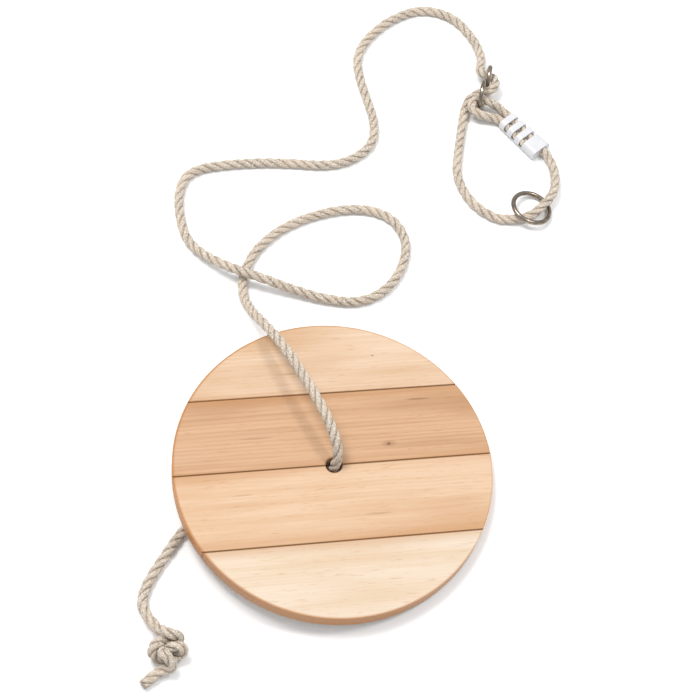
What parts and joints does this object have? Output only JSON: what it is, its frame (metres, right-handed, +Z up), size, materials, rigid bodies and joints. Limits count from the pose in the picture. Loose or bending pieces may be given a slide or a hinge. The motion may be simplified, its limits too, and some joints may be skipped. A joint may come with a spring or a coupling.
{
  "type": "disc swing",
  "caption": "Round wooden plate swing seat of glued boards on one laid rope, with stopper knot, figure-eight length adjuster, clamp ferrule and hanging ring.",
  "frame": {"origin": "on the ground, under the middle of the seat's footprint", "axes": "+X right along the boards, +Y away from the sitter towards the rope's hanging end, +Z up"},
  "size_m": [0.4772, 0.7433, 0.0638],
  "materials": {
    "board_front": "clear matt oil",
    "board_middle_front": "clear matt oil",
    "board_middle_back": "clear matt oil",
    "board_back": "clear matt oil",
    "dowel": "plain",
    "rope": "three-strand laid hemp look",
    "nickel": "dull nickel plate",
    "ferrule": "moulded"
  },
  "bodies": {
    "rope": {"rope_line": "rope", "rope_tail": "rope", "rope_end": "rope", "stopper_knot": "rope", "adjuster": "nickel", "ferrule": "ferrule"},
    "seat": {"board_front": "board_front", "board_middle_front": "board_middle_front", "board_middle_back": "board_middle_back", "board_back": "board_back", "seam_dowels": "dowel"},
    "ring": {"hanging_ring": "nickel"}
  },
  "joints": [
    {"name": "seat_spin", "type": "hinge", "parent": "rope", "child": "seat", "pos_m": [0, 0, 0.01013], "axis": [0.0698, 0, 0.9976], "continuous": true},
    {"name": "ring_swing", "type": "hinge", "parent": "rope", "child": "ring", "pos_m": [0.2622, 0.2826, 0.0051], "axis": [-0.34, 0.9229, 0.181], "range_deg": [0, 90]}
  ]
}
